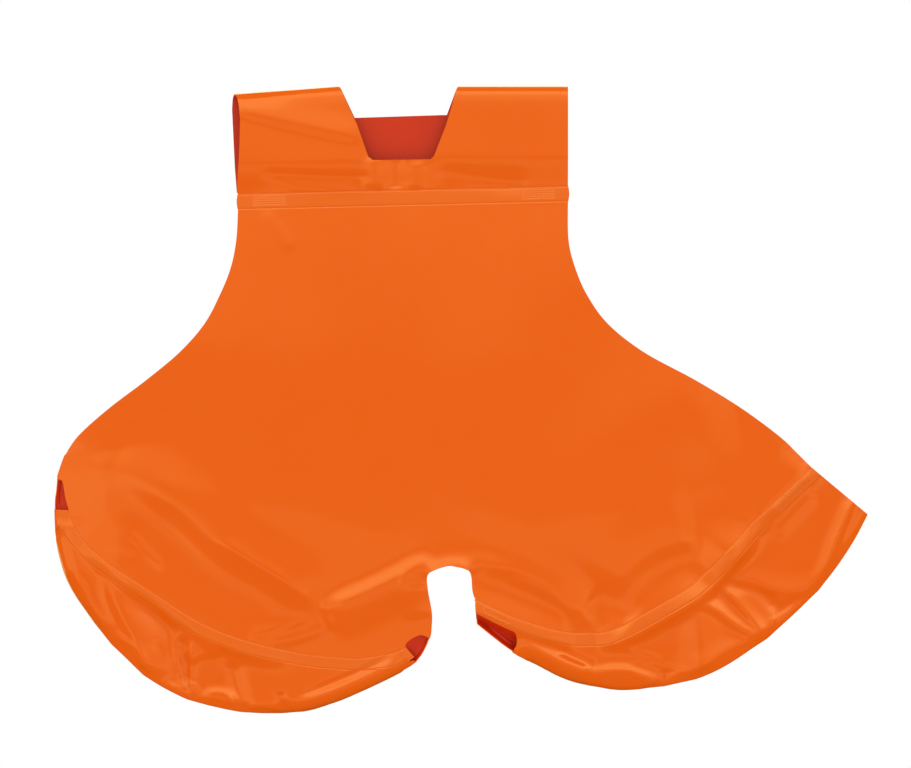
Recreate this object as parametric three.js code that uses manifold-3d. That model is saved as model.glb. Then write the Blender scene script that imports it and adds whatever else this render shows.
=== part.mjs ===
// Replaceable seat protector of a climbing and canyoning harness: one glossy PVC sheet that is cut,
// folded back at the waist and at both leg hems, and welded into three sleeves.
// Millimetres. X runs to the right, Z up, and +Y towards the wearer, so the outer side faces -Y.
// The origin is the middle of the belt tunnel. The protector hangs from that tunnel.

import * as THREE from 'three';
import { mergeVertices } from 'three/addons/utils/BufferGeometryUtils.js';
import Module from 'manifold-3d';

const wasm = await Module();
wasm.setup();

// ---- driving dimensions -------------------------------------------------------------------------

const SHEET = 1.0; // thickness of the PVC sheet
const GAP = 0.3; // clearance between faces that touch
const HALF = SHEET / 2;

const BELT_WIDTH = 297; // the belt sleeve, from end to end
const BELT_TOP = 46.5; // crown of the belt sleeve's fold
const BELT_ROOM = 12; // distance between the middles of the sleeve's two walls
const BELT_TAPER = 16; // height over which the walls come together above the weld
const WAIST_TILT = 0.024; // rise of the waist weld per millimetre to the right

const WAIST_WELD_TOP = -45; // at x = 0
const WAIST_WELD_HEIGHT = 15.5;
const WAIST_AXIS = WAIST_WELD_TOP - WAIST_WELD_HEIGHT - 0.8; // the crease just under the weld

const NOTCH_TOP = [-59.5, 49.5]; // the notch's two ends at the fold
const NOTCH_FRONT = [-29, 27]; // its floor in the front wall
const NOTCH_FRONT_Z = -19;
const NOTCH_BACK = [-46, 40]; // its floor in the back wall
const NOTCH_BACK_Z = 18;

const HEM_WIDTH = 68; // from the top of a leg weld to the hem's fold
const HEM_ROOM = 12; // distance between the middles of a leg sleeve's walls
const HEM_WELD = 12; // width of a leg weld
const HEM_TAPER = 14; // width over which the back flap leaves the weld
const HEM_TURN_MOST = 2.4; // the most that a hem rolls under, in radians

const SEAT_BULGE = 7.6; // how far the seat bows out, towards -Y
const LOBE_SLOPE = 0.08; // how fast a leg lobe leans back below its crease

const TACK_LENGTH = 30;
const TACK_HEIGHT = 10;
const TACK_THICKNESS = 0.6;

const PARENT_CLEAR = 0.8; // from a crease's axis to the sheet above it
const CHILD_CLEAR = 0.3; // and to the sheet below it

const CROTCH = { left: 35, right: 50, z: -368, arch: -384 };

// The waist's two side edges, from the weld down to the outer ends of the leg creases.
const SEAT_SIDES = {
  left: [[-149, -65], [-151, -98], [-166, -143], [-201, -192], [-264, -242], [-305, -286]],
  right: [[149, -58], [150, -93], [165, -139], [217, -192], [304, -242], [370, -292]],
};

// Each leg lobe, from the crotch outwards. A seam point and the fold point beside it share a place
// in the two lists, and the hem is rolled under where they lie closer than its width. The front wall
// of a leg sleeve covers only the columns named front, which leaves the tunnel's mouths cut open.
const LEGS = {
  left: {
    crease: [[35, -368], [-305, -286]],
    crotchEdge: [[35, -368], [35, -385], [22, -393], [23, -406], [26, -431], [23, -440]],
    outerEdge: [[-305, -286], [-310, -300], [-304.5, -315], [-301, -334]],
    seam: [[23, -440], [2, -457], [-13, -463], [-38, -467], [-61, -466], [-95, -462], [-141, -451],
      [-182, -435], [-223, -409], [-269, -378], [-291, -356], [-301, -334]],
    fold: [[25, -456], [13, -470], [-9, -482], [-36, -495], [-63, -507], [-101, -516], [-160, -513],
      [-215, -492], [-262, -455], [-298, -408], [-311, -372], [-313, -345]],
    front: [2, 21],
    tacks: [],
  },
  right: {
    crease: [[50, -368], [370, -292]],
    crotchEdge: [[50, -368], [50, -385], [60, -390], [62, -406], [67, -415]],
    outerEdge: [[370, -292], [368, -297], [366, -300]],
    seam: [[67, -415], [98, -428], [123, -437], [147, -443], [167, -444], [190, -440], [240, -413],
      [266, -395], [292, -369], [310, -349], [335, -326], [366, -300]],
    fold: [[69, -440], [95, -460], [121, -474], [146, -485], [174, -492], [207, -494], [272, -482],
      [314, -459], [353, -426], [383, -392], [403, -366], [417, -339]],
    front: [2, 22],
    tacks: [{ name: 'inner', at: 0.05 }, { name: 'outer', at: 0.95 }],
  },
};

const SEAT_COLUMNS = 25; // the middle column spans the crotch
const SEAT_ROWS = 12;
const LEG_COLUMNS = 22;
const LEG_ROWS = 6;
const HEM_ROWS = 9;
const WALL_COLUMNS = 12;

// ---- materials ----------------------------------------------------------------------------------

const orange = new THREE.MeshStandardMaterial({ color: 0xec6519, roughness: 0.35, metalness: 0 });
const welded = new THREE.MeshStandardMaterial({ color: 0xe85f17, roughness: 0.3, metalness: 0 });
const stamped = new THREE.MeshStandardMaterial({ color: 0xe05510, roughness: 0.5, metalness: 0 });

const group = new THREE.Group();

// ---- geometry helpers ---------------------------------------------------------------------------

const point = ([x, z]) => new THREE.Vector2(x, z);
const mix = (a, b, t) => a.clone().lerp(b, t);
const polyline = (points) => new THREE.Path(points.map(point));
const spline = (points) => new THREE.SplineCurve(points.map(point));

function signedVolume(geometry) {
  const corner = [0, 1, 2].map(() => new THREE.Vector3());
  const { index } = geometry;
  let total = 0;
  for (let i = 0; i < index.count; i += 3) {
    corner.forEach((c, k) => c.fromBufferAttribute(geometry.attributes.position, index.getX(i + k)));
    total += corner[0].dot(corner[1].cross(corner[2]));
  }
  return total;
}

// Shared corners become one, and the faces point out.
function closed(geometry) {
  geometry.deleteAttribute('normal');
  geometry.deleteAttribute('uv');
  const merged = mergeVertices(geometry, 1e-4);
  if (signedVolume(merged) < 0) merged.index.array.reverse();
  return merged;
}

function solid(name, material, geometry) {
  geometry.computeVertexNormals();
  const mesh = new THREE.Mesh(geometry, material);
  mesh.name = name;
  group.add(mesh);
}

// A sheet with two faces: place(u, v, side) gives its point at u, v on the face -1 or +1.
function sheet(columns, rows, place) {
  const box = new THREE.BoxGeometry(1, 1, 1, columns, 1, rows);
  const at = box.attributes.position;
  for (let i = 0; i < at.count; i += 1) {
    const p = place(at.getX(i) + 0.5, at.getZ(i) + 0.5, Math.sign(at.getY(i)));
    at.setXYZ(i, p.x, p.y, p.z);
  }
  return closed(box);
}

// The surface between four edges, the Coons patch.
function patch(top, bottom, start, end) {
  return (u, v) => {
    const edges = mix(top(u), bottom(u), v);
    const sides = mix(start(v), end(v), u);
    const corners = mix(mix(top(0), top(1), u), mix(bottom(0), bottom(1), u), v);
    return edges.add(sides).sub(corners);
  };
}

// A folded sheet's section: the middle line's points with a face on each side of it.
function section(path, divisions) {
  return path.getSpacedPoints(divisions).map((p, i) => {
    const along = path.getTangentAt(i / divisions);
    const across = new THREE.Vector2(-along.y, along.x).multiplyScalar(HALF);
    return { '-1': p.clone().sub(across), 1: p.clone().add(across) };
  });
}

function manifold(geometry) {
  return new wasm.Manifold(new wasm.Mesh({
    numProp: 3,
    vertProperties: Float32Array.from(geometry.attributes.position.array),
    triVerts: Uint32Array.from(geometry.index.array),
  }));
}

function cut(geometry, cutter) {
  const result = manifold(geometry).subtract(manifold(cutter)).getMesh();
  const out = new THREE.BufferGeometry();
  out.setAttribute('position', new THREE.BufferAttribute(result.vertProperties, 3));
  out.setIndex(new THREE.BufferAttribute(result.triVerts, 1));
  return out;
}

// A prism along Y over an outline in X and Z.
function prism(points, low, high) {
  const shape = new THREE.Shape(points.map(point));
  const geometry = new THREE.ExtrudeGeometry(shape, { depth: high - low, bevelEnabled: false });
  geometry.rotateX(Math.PI / 2);
  geometry.translate(0, high, 0);
  return closed(geometry);
}

// ---- the hanging shape --------------------------------------------------------------------------

const waistZ = (x, z0) => z0 + WAIST_TILT * x;

// Signed distance below a leg's crease, in the plane of the sheet.
function belowCrease(leg, p) {
  const [inner, outer] = leg.crease.map(point);
  const along = outer.clone().sub(inner).normalize();
  return Math.abs(along.x) * (inner.y - p.y) + Math.sign(along.x) * along.y * (p.x - inner.x);
}

// A point of a leg's crease, moved down into the lobe by the given distance.
function onCrease(leg, u, down) {
  const [inner, outer] = leg.crease.map(point);
  const along = outer.clone().sub(inner).normalize();
  const across = new THREE.Vector2(along.y, -along.x).multiplyScalar(Math.sign(along.x) * down);
  return mix(inner, outer, u).add(across);
}

const lobeDepth = (leg, p) => LOBE_SLOPE * Math.max(belowCrease(leg, p), 0);

function seatDepth(p) {
  const leg = p.x < (CROTCH.left + CROTCH.right) / 2 ? LEGS.left : LEGS.right;
  const above = Math.max(-belowCrease(leg, p), 0);
  const below = Math.max(waistZ(p.x, WAIST_AXIS) - p.y, 0);
  return -SEAT_BULGE * Math.sin((Math.PI * below) / (below + above + 1e-6));
}

// ---- belt sleeve --------------------------------------------------------------------------------

// Walls hang straight from the fold, close over the taper, and end at the weld.
function beltWall(side) {
  const r = BELT_ROOM / 2;
  const crown = side * GAP;
  const path = new THREE.Path();
  path.moveTo(crown, BELT_TOP - HALF);
  path.quadraticCurveTo(side * r, BELT_TOP - HALF, side * r, BELT_TOP - HALF - r);
  path.lineTo(side * r, WAIST_WELD_TOP + BELT_TAPER);
  path.bezierCurveTo(
    side * r, WAIST_WELD_TOP + BELT_TAPER * 0.6,
    side * (HALF + GAP / 2), WAIST_WELD_TOP + BELT_TAPER * 0.5,
    side * (HALF + GAP / 2), WAIST_WELD_TOP + GAP,
  );
  const rows = section(path, 30);
  return sheet(WALL_COLUMNS, rows.length - 1, (u, v, face) => {
    const [y, z] = rows[Math.round(v * (rows.length - 1))][face].toArray();
    return new THREE.Vector3((u - 0.5) * BELT_WIDTH, y, z);
  });
}

// The walls lean with the waist weld, the more the lower they are.
function lean(geometry) {
  const at = geometry.attributes.position;
  for (let i = 0; i < at.count; i += 1) {
    const share = (BELT_TOP - at.getZ(i)) / (BELT_TOP - WAIST_WELD_TOP);
    at.setZ(i, at.getZ(i) + WAIST_TILT * at.getX(i) * share);
  }
  return geometry;
}

function notch([left, right], floor, low, high) {
  const rim = BELT_TOP + 1;
  return prism([[NOTCH_TOP[0], rim], [left, floor], [right, floor], [NOTCH_TOP[1], rim]], low, high);
}

function beltSleeve() {
  const front = cut(beltWall(-1), notch(NOTCH_FRONT, NOTCH_FRONT_Z, -BELT_ROOM, BELT_ROOM));
  const back = cut(beltWall(1), notch(NOTCH_BACK, NOTCH_BACK_Z, -BELT_ROOM, BELT_ROOM));
  solid('sleeve_front_wall', orange, lean(front));
  solid('sleeve_back_wall', orange, lean(back));
}

function waistWeld() {
  const depth = SHEET + GAP / 2;
  const band = sheet(WALL_COLUMNS, 2, (u, v, face) => {
    const x = (u - 0.5) * BELT_WIDTH;
    return new THREE.Vector3(x, face * depth, waistZ(x, WAIST_WELD_TOP - v * WAIST_WELD_HEIGHT));
  });
  solid('waist_weld_seam', welded, band);
  const front = -depth - GAP;
  for (const [name, x] of [['left', -120], ['right', 122]]) {
    const tack = new THREE.BoxGeometry(TACK_LENGTH, TACK_THICKNESS, TACK_HEIGHT, 3, 1, 1);
    tack.rotateY(-Math.atan(WAIST_TILT));
    const z = waistZ(x, WAIST_WELD_TOP - WAIST_WELD_HEIGHT / 2);
    tack.translate(x, front - TACK_THICKNESS / 2, z);
    solid(`waist_tack_${name}`, stamped, closed(tack));
  }
}

// ---- seat ---------------------------------------------------------------------------------------

function seatPanel() {
  const sides = { left: spline(SEAT_SIDES.left), right: spline(SEAT_SIDES.right) };
  const x0 = sides.left.getPoint(0).x;
  const x1 = sides.right.getPoint(0).x;
  const middle = [(SEAT_COLUMNS - 1) / 2 / SEAT_COLUMNS, (SEAT_COLUMNS + 1) / 2 / SEAT_COLUMNS];
  const top = (u) => {
    const x = THREE.MathUtils.lerp(x0, x1, u);
    return new THREE.Vector2(x, waistZ(x, WAIST_AXIS - CHILD_CLEAR));
  };
  const bottom = (u) => {
    if (u <= middle[0]) return onCrease(LEGS.left, 1 - u / middle[0], -PARENT_CLEAR);
    if (u >= middle[1]) return onCrease(LEGS.right, (u - middle[1]) / (1 - middle[1]), -PARENT_CLEAR);
    const inner = [LEGS.left, LEGS.right].map((leg) => onCrease(leg, 0, -PARENT_CLEAR));
    return mix(...inner, (u - middle[0]) / (middle[1] - middle[0]));
  };
  // The side edges run from the top edge's ends to the creases' ends.
  const edge = (curve, from, to) => (v) => {
    const p = curve.getPoint(v);
    const shift = mix(from.clone().sub(curve.getPoint(0)), to.clone().sub(curve.getPoint(1)), v);
    return p.add(shift);
  };
  const surface = patch(
    top, bottom, edge(sides.left, top(0), bottom(0)), edge(sides.right, top(1), bottom(1)),
  );
  solid('seat_panel', orange, sheet(SEAT_COLUMNS, SEAT_ROWS, (u, v, face) => {
    const p = surface(u, v);
    return new THREE.Vector3(p.x, seatDepth(p) + face * HALF, p.y);
  }));
  const z = CROTCH.z + PARENT_CLEAR - GAP;
  const bridge = new THREE.BoxGeometry(
    CROTCH.right - CROTCH.left - 2 * CHILD_CLEAR, SHEET, z - GAP - CROTCH.arch,
  );
  bridge.translate((CROTCH.left + CROTCH.right) / 2, 0, (z - GAP + CROTCH.arch) / 2);
  solid('crotch_bridge', orange, closed(bridge));
}

// ---- legs ---------------------------------------------------------------------------------------

// How a hem of the given width looks: it turns through an arc, then runs straight.
function hemRoll(seen, width) {
  const half = Math.PI / 2;
  if (seen < width / half) {
    const turn = Math.min(width / seen, HEM_TURN_MOST);
    return { radius: seen, turn };
  }
  let low = 0.05;
  let high = half;
  for (let i = 0; i < 30; i += 1) {
    const t = (low + high) / 2;
    if (Math.sin(t) / t > seen / width) low = t;
    else high = t;
  }
  return { radius: width / low, turn: low };
}

// place(u, s, d) gives the point a distance s out from the seam's top line along the hem, and d
// behind its outer layer.
function hemSurface(leg) {
  const seam = spline(leg.seam);
  const fold = spline(leg.fold);
  return (u, s, d) => {
    const from = seam.getPoint(u);
    const out = fold.getPoint(u).sub(from);
    const seen = out.length();
    out.normalize();
    const { radius, turn } = hemRoll(seen, Math.max(HEM_WIDTH, seen * 1.01));
    const angle = Math.min(s / radius, turn);
    const rest = s - angle * radius;
    const a = radius * Math.sin(angle) + rest * Math.cos(angle) - d * Math.sin(angle);
    const b = radius * (1 - Math.cos(angle)) + rest * Math.sin(angle) + d * Math.cos(angle);
    return new THREE.Vector3(from.x + out.x * a, lobeDepth(leg, from) + b, from.y + out.y * a);
  };
}

function hemStrip(place, path, [from, to]) {
  const rows = section(path, HEM_ROWS);
  return sheet(to - from, HEM_ROWS, (u, v, face) => {
    const [s, d] = rows[Math.round(v * HEM_ROWS)][face].toArray();
    return place(THREE.MathUtils.lerp(from, to, u) / LEG_COLUMNS, s, d);
  });
}

function legLobe(name, leg) {
  const seam = spline(leg.seam);
  const crotchEdge = polyline(leg.crotchEdge);
  const outerEdge = polyline(leg.outerEdge);
  const top = (u) => onCrease(leg, u, CHILD_CLEAR);
  const bottom = (u) => seam.getPoint(u);
  const side = (curve, from) => (v) => {
    const p = curve.getPointAt(v);
    const shift = from.clone().sub(curve.getPointAt(0)).multiplyScalar(1 - v);
    return p.add(shift);
  };
  const surface = patch(top, bottom, side(crotchEdge, top(0)), side(outerEdge, top(1)));
  solid(`${name}_leg_panel`, orange, sheet(LEG_COLUMNS, LEG_ROWS, (u, v, face) => {
    const p = surface(u, v);
    return new THREE.Vector3(p.x, lobeDepth(leg, p) + face * HALF, p.y);
  }));

  const place = hemSurface(leg);
  const fold = HEM_ROOM / 2;
  const end = HEM_WIDTH - HALF;

  const weld = sheet(LEG_COLUMNS, 3, (u, v, face) => place(
    u, GAP + v * (HEM_WELD - GAP), SHEET / 2 + GAP / 2 + face * (SHEET + GAP / 2),
  ));
  solid(`${name}_leg_weld_seam`, welded, weld);

  const front = new THREE.Path();
  front.moveTo(HEM_WELD + GAP, 0);
  front.lineTo(end - fold, 0);
  front.quadraticCurveTo(end, 0, end, fold - GAP);
  solid(`${name}_leg_sleeve_front`, orange, hemStrip(place, front, leg.front));

  const back = new THREE.Path();
  back.moveTo(end, fold + GAP);
  back.quadraticCurveTo(end, HEM_ROOM, end - fold, HEM_ROOM);
  back.lineTo(HEM_WELD + HEM_TAPER, HEM_ROOM);
  back.bezierCurveTo(
    HEM_WELD + HEM_TAPER * 0.6, HEM_ROOM,
    HEM_WELD + HEM_TAPER * 0.4, SHEET + GAP,
    HEM_WELD + GAP, SHEET + GAP,
  );
  solid(`${name}_leg_sleeve_back`, orange, hemStrip(place, back, [0, LEG_COLUMNS]));

  for (const tack of leg.tacks) {
    const span = TACK_LENGTH / seam.getLength() / 2;
    const plate = sheet(3, 1, (u, v, face) => place(
      tack.at + (u - 0.5) * 2 * span,
      (HEM_WELD - TACK_HEIGHT) / 2 + v * TACK_HEIGHT,
      -HALF - GAP * 2 - TACK_THICKNESS / 2 + (face * TACK_THICKNESS) / 2,
    ));
    solid(`${name}_leg_tack_${tack.name}`, stamped, plate);
  }
}

// ---- assembly -----------------------------------------------------------------------------------

beltSleeve();
waistWeld();
seatPanel();
for (const [name, leg] of Object.entries(LEGS)) legLobe(name, leg);

export default group;
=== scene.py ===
"""Looks of a harness seat protector: one glossy PVC sheet that is cut, folded back and welded.

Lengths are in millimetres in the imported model's frame and become metres when a mesh is made.
X runs to the right, Z up and +Y towards the wearer, so the outer side of the sheet faces -Y.
"""

import math

import bpy
import numpy as np
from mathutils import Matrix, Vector
from mathutils.geometry import delaunay_2d_cdt


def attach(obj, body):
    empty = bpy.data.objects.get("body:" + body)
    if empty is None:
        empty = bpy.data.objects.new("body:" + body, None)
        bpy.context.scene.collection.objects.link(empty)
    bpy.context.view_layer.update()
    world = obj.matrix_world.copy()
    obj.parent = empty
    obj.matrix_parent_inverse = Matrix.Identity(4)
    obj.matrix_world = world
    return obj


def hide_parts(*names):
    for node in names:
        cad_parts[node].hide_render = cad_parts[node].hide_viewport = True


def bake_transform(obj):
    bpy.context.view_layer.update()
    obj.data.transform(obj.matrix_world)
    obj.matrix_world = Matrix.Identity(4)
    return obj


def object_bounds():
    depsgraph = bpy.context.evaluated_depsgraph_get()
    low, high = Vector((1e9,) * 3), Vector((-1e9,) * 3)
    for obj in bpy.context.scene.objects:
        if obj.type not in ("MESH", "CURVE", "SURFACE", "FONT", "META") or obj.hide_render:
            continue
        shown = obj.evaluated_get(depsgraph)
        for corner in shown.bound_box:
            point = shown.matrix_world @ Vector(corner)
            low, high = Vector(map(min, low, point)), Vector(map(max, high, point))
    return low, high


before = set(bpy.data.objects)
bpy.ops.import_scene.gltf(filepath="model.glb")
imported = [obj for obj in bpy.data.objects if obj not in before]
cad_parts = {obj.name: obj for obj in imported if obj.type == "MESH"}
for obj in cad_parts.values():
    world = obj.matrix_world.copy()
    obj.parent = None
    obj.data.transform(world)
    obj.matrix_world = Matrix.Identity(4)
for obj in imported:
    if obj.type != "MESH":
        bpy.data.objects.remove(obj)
cad_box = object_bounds()

MM = 0.001
RNG = np.random.default_rng(7)

# ---- driving dimensions ---------------------------------------------------------------------------

SHEET = 1.0
FOOT_GAP = 0.15
BELT_HALF = 148.5
BELT_TOP = 46.5
BELT_ROOM = 12.0
BELT_TAPER = 27.0
SHOULDER = 17.0
SHOULDER_DEPTH = 1.7
LOOP_START = -59.5
LOOP_DROP = 6.8
LOOP_END_START = -90.0
LOOP_OPEN = 2.2
CROWN_RISE = 0.8
BACK_SAG = 1.4
WAIST_TILT = 0.024
WELD_TOP = -45.0
WELD_BOTTOM = -60.5
WAIST_AXIS = -61.3
HEM_WIDTH = 68.0
HEM_ROOM = 12.0
HEM_TAPER = 14.0
HEM_TURN_MOST = 2.4
HEM_ROLL = 15.0
HEM_ROLL_SHARE = 0.8
SEAT_BULGE = 3.6
LOBE_SLOPE = 0.08
FOLD_ROOM_SHARE = 0.2
HELD_WELD_SHARE = 0.8
SEEN_SLACK = 1.01
CROTCH_X = 42.5
CREASE_LAP = 2.0
TONGUE_HALF = 7.5
TONGUE_TOP = -366.0

NOTCH = [(-58, 46.5), (-43.5, 19), (-41, 19), (36, 21), (39.5, 21), (50, 46.5),
         (39, 12), (28, -16), (25, -19), (-27, -19), (-31, -16), (-41, 12)]

SIDES = {
    "left": [(-149, -64), (-150, -91), (-155, -116), (-165, -141), (-179, -167), (-201, -192),
             (-231, -217), (-264, -242), (-292, -267), (-305, -286)],
    "right": [(148.5, -57), (149, -91), (155, -116), (166, -141), (185, -167), (217, -192),
              (263, -217), (304, -242), (338, -267), (353, -281)],
}

LEGS = {
    "left": {
        "flat": (0.35, 0.16),
        "area": 0.037,
        "crease": [(35, -368), (-305, -286)],
        "inner_edge": [(35, -385.5), (28, -388), (22, -393), (22.5, -406), (26, -426), (26, -438),
                       (24.5, -449), (20, -447.6), (15, -446.8), (7, -450.6), (3, -454)],
        "outer_edge": [(-301, -334), (-304, -323), (-305.5, -314), (-307, -307.5), (-311.5, -305.5),
                       (-309, -296), (-305, -285)],
        "seam": [(23, -440), (2, -457), (-13, -463), (-38, -467), (-61, -466), (-95, -462),
                 (-141, -451), (-182, -435), (-223, -409), (-269, -378), (-291, -356), (-301, -334),
                 (-303, -304)],
        "fold": [(24.5, -450), (13, -470), (-9, -482.5), (-36, -496), (-63, -507.5), (-101, -516.5),
                 (-160, -513.5), (-217, -493.5), (-262, -455), (-298, -408), (-311, -370),
                 (-314, -333.5), (-312, -304)],
        "joined": (1 / 12, 11 / 12),
        "weld": 12,
        "mouths": (0.022, -0.004),
        "flat_ends": ((0.1, 0.12), (0.88, 0.12)),
        "tips": [(-5, -477), (-108, -514), (-145, -513), (-194, -502), (-231, -478), (-262, -455)],
    },
    "right": {
        "flat": (0.34, 0.13),
        "area": 0.0235,
        "crease": [(50, -368), (370, -292)],
        "inner_edge": [(50, -385.5), (56, -387), (61, -391), (62.5, -406), (65, -415)],
        "outer_edge": [(367, -295), (360, -288), (353, -281)],
        "seam": [(65, -413), (98, -428.5), (123, -437), (147, -443), (167, -444), (190, -440),
                 (240, -413), (266, -395), (292, -369), (310, -349), (335, -325), (367, -295)],
        "fold": [(66.5, -437.5), (95.5, -460.5), (121, -474), (146, -486), (174, -493), (207, -496),
                 (272, -483), (317, -457), (353, -427), (383, -395), (404, -365), (418.5, -338)],
        "joined": (0, 1),
        "weld": 13.5,
        "mouths": (0.1, 0),
        "flat_ends": ((0.11, 0.12), (0.95, 0.15)),
        "tips": [(168, -492), (235, -493), (264, -485), (329, -450), (375, -407)],
    },
}

# Points along a hem and along the belt.
COLUMNS = 168
BELT_COLUMNS = 88
# How far apart the other mesh points lie.
PANEL_STEP = 3.0
HEM_STEP = 2.0
BELT_STEP = 2.6
BELT_ROW = 2.4
EDGE_STEP = 2.5

# ---- the sheet's relief ---------------------------------------------------------------------------
# A stroke is a ridge, or with a negative height a groove, along a smooth line of (x, z) points:
# (points, height, width on the left of travel, width on the right, sharpness). Sharpness 2 is
# round and 1 is a crease. Each fades out towards its two ends.

LEFT_LOBE_STROKES = [
    ([(-262, -290), (-200, -330), (-160, -366), (-120, -390), (-66, -426)], 5.1, 27, 15, 2),
    ([(-170, -358), (-140, -378), (-110, -396), (-82, -417)], 1.1, 6, 4, 2),
    ([(-290, -362), (-262, -388), (-218, -420), (-178, -446), (-138, -463), (-96, -470)],
     6.3, 42, 7, 2),
    ([(-270, -280), (-266, -310), (-265, -342), (-269, -374)], 1.6, 36, 17, 2),
    ([(-298, -268), (-310, -298), (-304, -330), (-300, -350)], -1.8, 12, 15, 2),
    ([(-247, -351), (-231, -371), (-214, -387)], -0.9, 3, 4, 2),
    ([(-270, -390), (-252, -432), (-237, -458), (-224, -492)], 5.2, 24, 6, 1.5),
    ([(-254, -402), (-224, -424), (-208, -448), (-203, -478), (-197, -495)], -2.5, 5, 11, 2),
    ([(-225, -450), (-219, -462), (-220, -475)], -1.1, 4, 4, 2),
    ([(-207, -440), (-203, -470), (-199, -488), (-190, -514)], 2.6, 3, 3, 1.4),
    ([(-198, -445), (-197, -475), (-193, -512)], -3, 4, 4, 1.5),
    ([(-191, -450), (-190, -475), (-193, -508)], 2.2, 3, 3, 1.5),
    ([(-204, -453), (-198, -447), (-188, -449), (-176, -456), (-165, -462)], 1.6, 5, 5, 2),
    ([(-193, -472), (-186, -465), (-176, -463), (-164, -462)], 2.1, 12, 4, 2),
    ([(-193, -489), (-188, -494), (-186, -501)], 1.4, 3, 3, 2),
    ([(-190, -504), (-170, -503.5), (-155, -507), (-144, -513)], 2.3, 5, 3, 1.5),
    ([(-178, -499), (-162, -499), (-149, -508)], 1.4, 4, 2, 1.5),
    ([(-156, -470), (-149, -497), (-142, -526)], -3, 6, 6, 1.5),
    ([(-146, -513), (-126, -510.5), (-107, -514)], 1.8, 4, 2.5, 1.5),
    ([(-112, -498), (-109, -513)], -1.8, 3.5, 3.5, 2),
    ([(-109, -514), (-60, -498), (-20, -481), (3, -468)], 3.2, 6, 9, 2),
    ([(-96, -503), (-60, -488), (-30, -475), (-10, -465)], -1.4, 2.5, 4, 2),
    ([(-311, -338), (-309, -362), (-303, -385), (-299, -392)], 1.8, 3, 3, 2),
    ([(-299, -390), (-288, -404), (-281, -420), (-261, -448)], 2.1, 4, 3, 1.5),
    ([(-263, -446), (-246, -455), (-236, -466), (-230, -479)], 2.1, 4, 3, 1.5),
    ([(-76, -425), (-40, -412), (-4, -395), (30, -376)], 4.8, 9, 26, 2),
    ([(2, -388), (-2, -404), (1, -420)], 0.9, 3, 2, 2),
    ([(12, -400), (14, -432)], 1.8, 9, 9, 2),
    ([(-68, -418), (-68, -430), (-62, -440)], 1, 3, 4, 2),
    ([(-140, -449), (-112, -441), (-84, -431)], 1, 6, 4, 2),
    ([(-122, -454), (-96, -450), (-68, -440)], 1, 6, 4, 2),
]

RIGHT_LOBE_STROKES = [
    ([(52, -374), (75, -382), (100, -388), (125, -399), (145, -411), (160, -427), (176, -443)],
     3.9, 13, 13, 1.6),
    ([(92, -395), (118, -404), (142, -417), (156, -430)], 0.9, 4, 3, 2),
    ([(30, -414), (66, -424), (100, -438), (128, -448), (156, -454)], 6, 22, 6, 2),
    ([(168, -408), (188, -424), (204, -438)], -2.4, 15, 15, 2),
    ([(180, -408), (206, -380), (232, -364), (268, -355)], 3.9, 40, 15, 2),
    ([(172, -456), (200, -450), (240, -429), (275, -406), (300, -379), (322, -356)], 6.6, 30, 6, 2),
    ([(280, -394), (312, -354), (345, -320), (386, -280)], 4.8, 46, 9, 2),
    ([(346, -272), (366, -292)], -1.4, 12, 12, 2),
    ([(320, -345), (345, -321), (368, -299)], 1.8, 5, 4, 2),
    ([(334, -359), (352, -338), (372, -318)], 1.4, 6, 6, 2),
    ([(370, -422), (385, -375), (397, -345), (408, -318)], 4, 7, 3, 1.4),
    ([(392, -408), (350, -408), (320, -403), (294, -395)], 3.4, 6, 14, 1.4),
    ([(388, -401), (352, -417), (330, -432)], -2.2, 4, 4, 1.6),
    ([(344, -457), (306, -441), (287, -427), (270, -416)], 3.4, 5, 7, 1.4),
    ([(340, -459), (313, -431), (299, -415), (286, -402)], 3.4, 4, 9, 1.4),
    ([(327, -462), (332, -440), (334, -420)], 2.4, 3, 4, 1.4),
    ([(288, -403), (312, -404), (328, -413), (338, -428)], -2.5, 5, 5, 2),
    ([(260, -503), (268, -462), (268, -440), (266, -424), (280, -404)], 5.6, 20, 18, 1.5),
    ([(244, -496), (283, -465), (305, -455), (344, -448)], 2.8, 9, 5, 1.4),
    ([(236, -478), (235, -491)], -2.1, 3, 3, 2),
    ([(103, -451), (125, -462), (150, -474), (170, -481)], 3.4, 6, 8, 2),
    ([(168, -480), (190, -478), (205, -479), (222, -486), (236, -493)], 3, 4, 6, 1.6),
    ([(138, -459), (160, -469), (176, -476)], -1.4, 4, 4, 2),
    ([(236, -493), (248, -486), (264, -484)], 1.8, 4, 3, 1.6),
    ([(186, -454), (215, -463), (236, -471)], 1, 3, 3, 2),
    ([(204, -471), (232, -473), (258, -480)], 0.9, 3, 3, 2),
]

CROTCH_STROKES = [
    ([(21, -396), (29, -388), (42, -384), (55, -386), (63, -394)], 4.6, 8, 8, 1.4),
]

SEAT_STROKES = [
    ([(-310, -262), (-250, -288), (-190, -305), (-120, -330), (-60, -352)], 0.8, 34, 30, 2),
    ([(92, -388), (130, -345), (180, -300), (250, -255), (300, -235)], 4, 55, 65, 2),
    ([(-126, -64), (-112, -84), (-98, -100)], 0.5, 6, 6, 2),
]

SLEEVE_STROKES = [
    ([(-130, -30), (-80, -33), (-28, -34)], -1.4, 4, 5, 2),
    ([(-108, -43), (-70, -45), (-34, -46)], 0.8, 3, 3, 2),
    ([(26, -28), (70, -35), (116, -40)], -1.6, 10, 8, 2),
    ([(-27, -16), (-25, -32), (-26, -46)], 1.8, 8, 8, 2),
    ([(-7, -16), (-7, -32), (-6, -46)], -1.8, 7, 7, 2),
    ([(12, -20), (13, -34), (12, -46)], 1.5, 8, 8, 2),
    ([(-160, 28), (-94, 13), (-34, 0)], 1.7, 13, 5, 2),
]

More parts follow.
